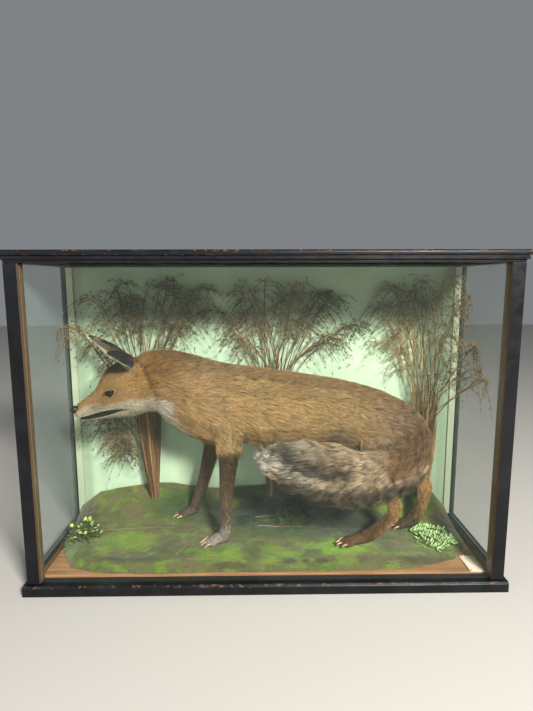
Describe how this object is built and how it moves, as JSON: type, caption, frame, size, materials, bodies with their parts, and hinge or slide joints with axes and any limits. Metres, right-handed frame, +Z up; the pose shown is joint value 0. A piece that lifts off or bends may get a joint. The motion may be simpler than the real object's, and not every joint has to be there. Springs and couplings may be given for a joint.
{
  "type": "taxidermy fox in a glazed case",
  "caption": "Mounted red fox, head turned and jaws parted, standing on mossy groundwork with dry reeds in a black wooden glazed case.",
  "frame": {"origin": "middle of the case's footprint, on the surface that it stands on", "axes": "+Z up, glass front at -Y, the fox's head towards -X and its left side to the front glass"},
  "size_m": [0.929, 0.2804, 0.647],
  "materials": {
    "ebonised_wood": "ebonised, worn satin",
    "bare_wood": "bare board",
    "glass": "clear pane",
    "painted_board": "matt pale green distemper",
    "moss": "mossy groundwork",
    "paper": "plain card",
    "dry_reed": "dry stems",
    "leaf": "preserved leaves",
    "fur": "fox coat",
    "fur_dark": "short dark fur",
    "nose_leather": "black, slightly glossy",
    "eye_glass": "glass eye"
  },
  "bodies": {
    "root": {"forepaw_left": "fur", "forepaw_right": "fur", "hindpaw_left": "fur", "hindpaw_right": "fur", "foreleg_left": "fur", "foreleg_right": "fur", "hindleg_left": "fur", "hindleg_right": "fur", "head": "fur", "neck": "fur", "trunk": "fur", "tail_tip": "fur", "tail_middle": "fur", "tail_base": "fur", "nose": "nose_leather", "mouth_lining": "nose_leather", "ear_left": "fur_dark", "eye_left": "eye_glass", "ear_right": "fur_dark", "eye_right": "eye_glass", "plinth_front": "ebonised_wood", "plinth_back": "ebonised_wood", "plinth_left": "ebonised_wood", "plinth_right": "ebonised_wood", "top_rail_front": "ebonised_wood", "top_rail_back": "ebonised_wood", "top_rail_left": "ebonised_wood", "top_rail_right": "ebonised_wood", "cornice_front": "ebonised_wood", "cornice_left": "ebonised_wood", "cornice_right": "ebonised_wood", "lid": "ebonised_wood", "post_front_left": "ebonised_wood", "post_front_right": "ebonised_wood", "post_back_left": "ebonised_wood", "post_back_right": "ebonised_wood", "side_rail_left": "ebonised_wood", "side_rail_right": "ebonised_wood", "base_board": "bare_wood", "back_board": "painted_board", "corner_strip_left": "painted_board", "corner_strip_right": "painted_board", "glass_front": "glass", "glass_left": "glass", "glass_right": "glass", "label_card": "paper", "groundwork": "moss", "reeds_left": "dry_reed", "leaves_left": "leaf", "reeds_middle": "dry_reed", "leaves_middle": "leaf", "reeds_right": "dry_reed", "leaves_right": "leaf"}
  },
  "joints": []
}
